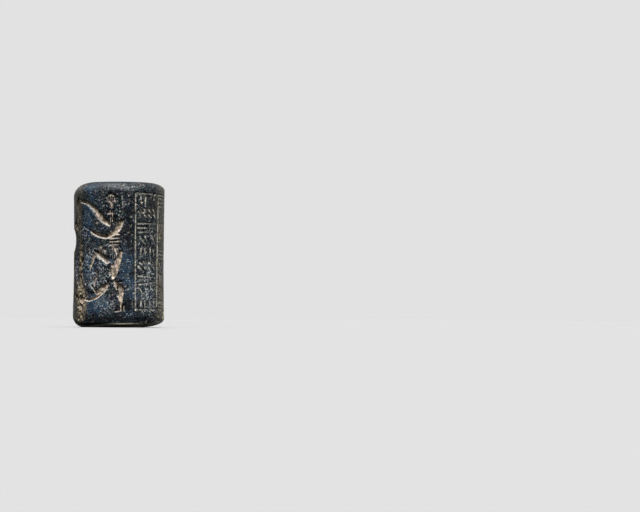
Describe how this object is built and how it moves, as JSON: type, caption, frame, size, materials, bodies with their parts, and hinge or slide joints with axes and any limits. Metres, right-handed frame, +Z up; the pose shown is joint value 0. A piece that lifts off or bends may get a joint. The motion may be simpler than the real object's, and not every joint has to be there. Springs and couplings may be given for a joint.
{
  "type": "cylinder seal",
  "caption": "Small standing stone cylinder with a lengthwise bore, its side engraved with a contest scene and a panel of strokes.",
  "frame": {"origin": "middle of the lower end, which it stands on", "axes": "+Z up along the bore; the first hero and the left column of the panel face -Y"},
  "size_m": [0.018, 0.018, 0.0284],
  "materials": {
    "lapis": "worn polish with a dusty deposit in the cuts"
  },
  "bodies": {
    "root": {"seal": "lapis"}
  },
  "joints": []
}
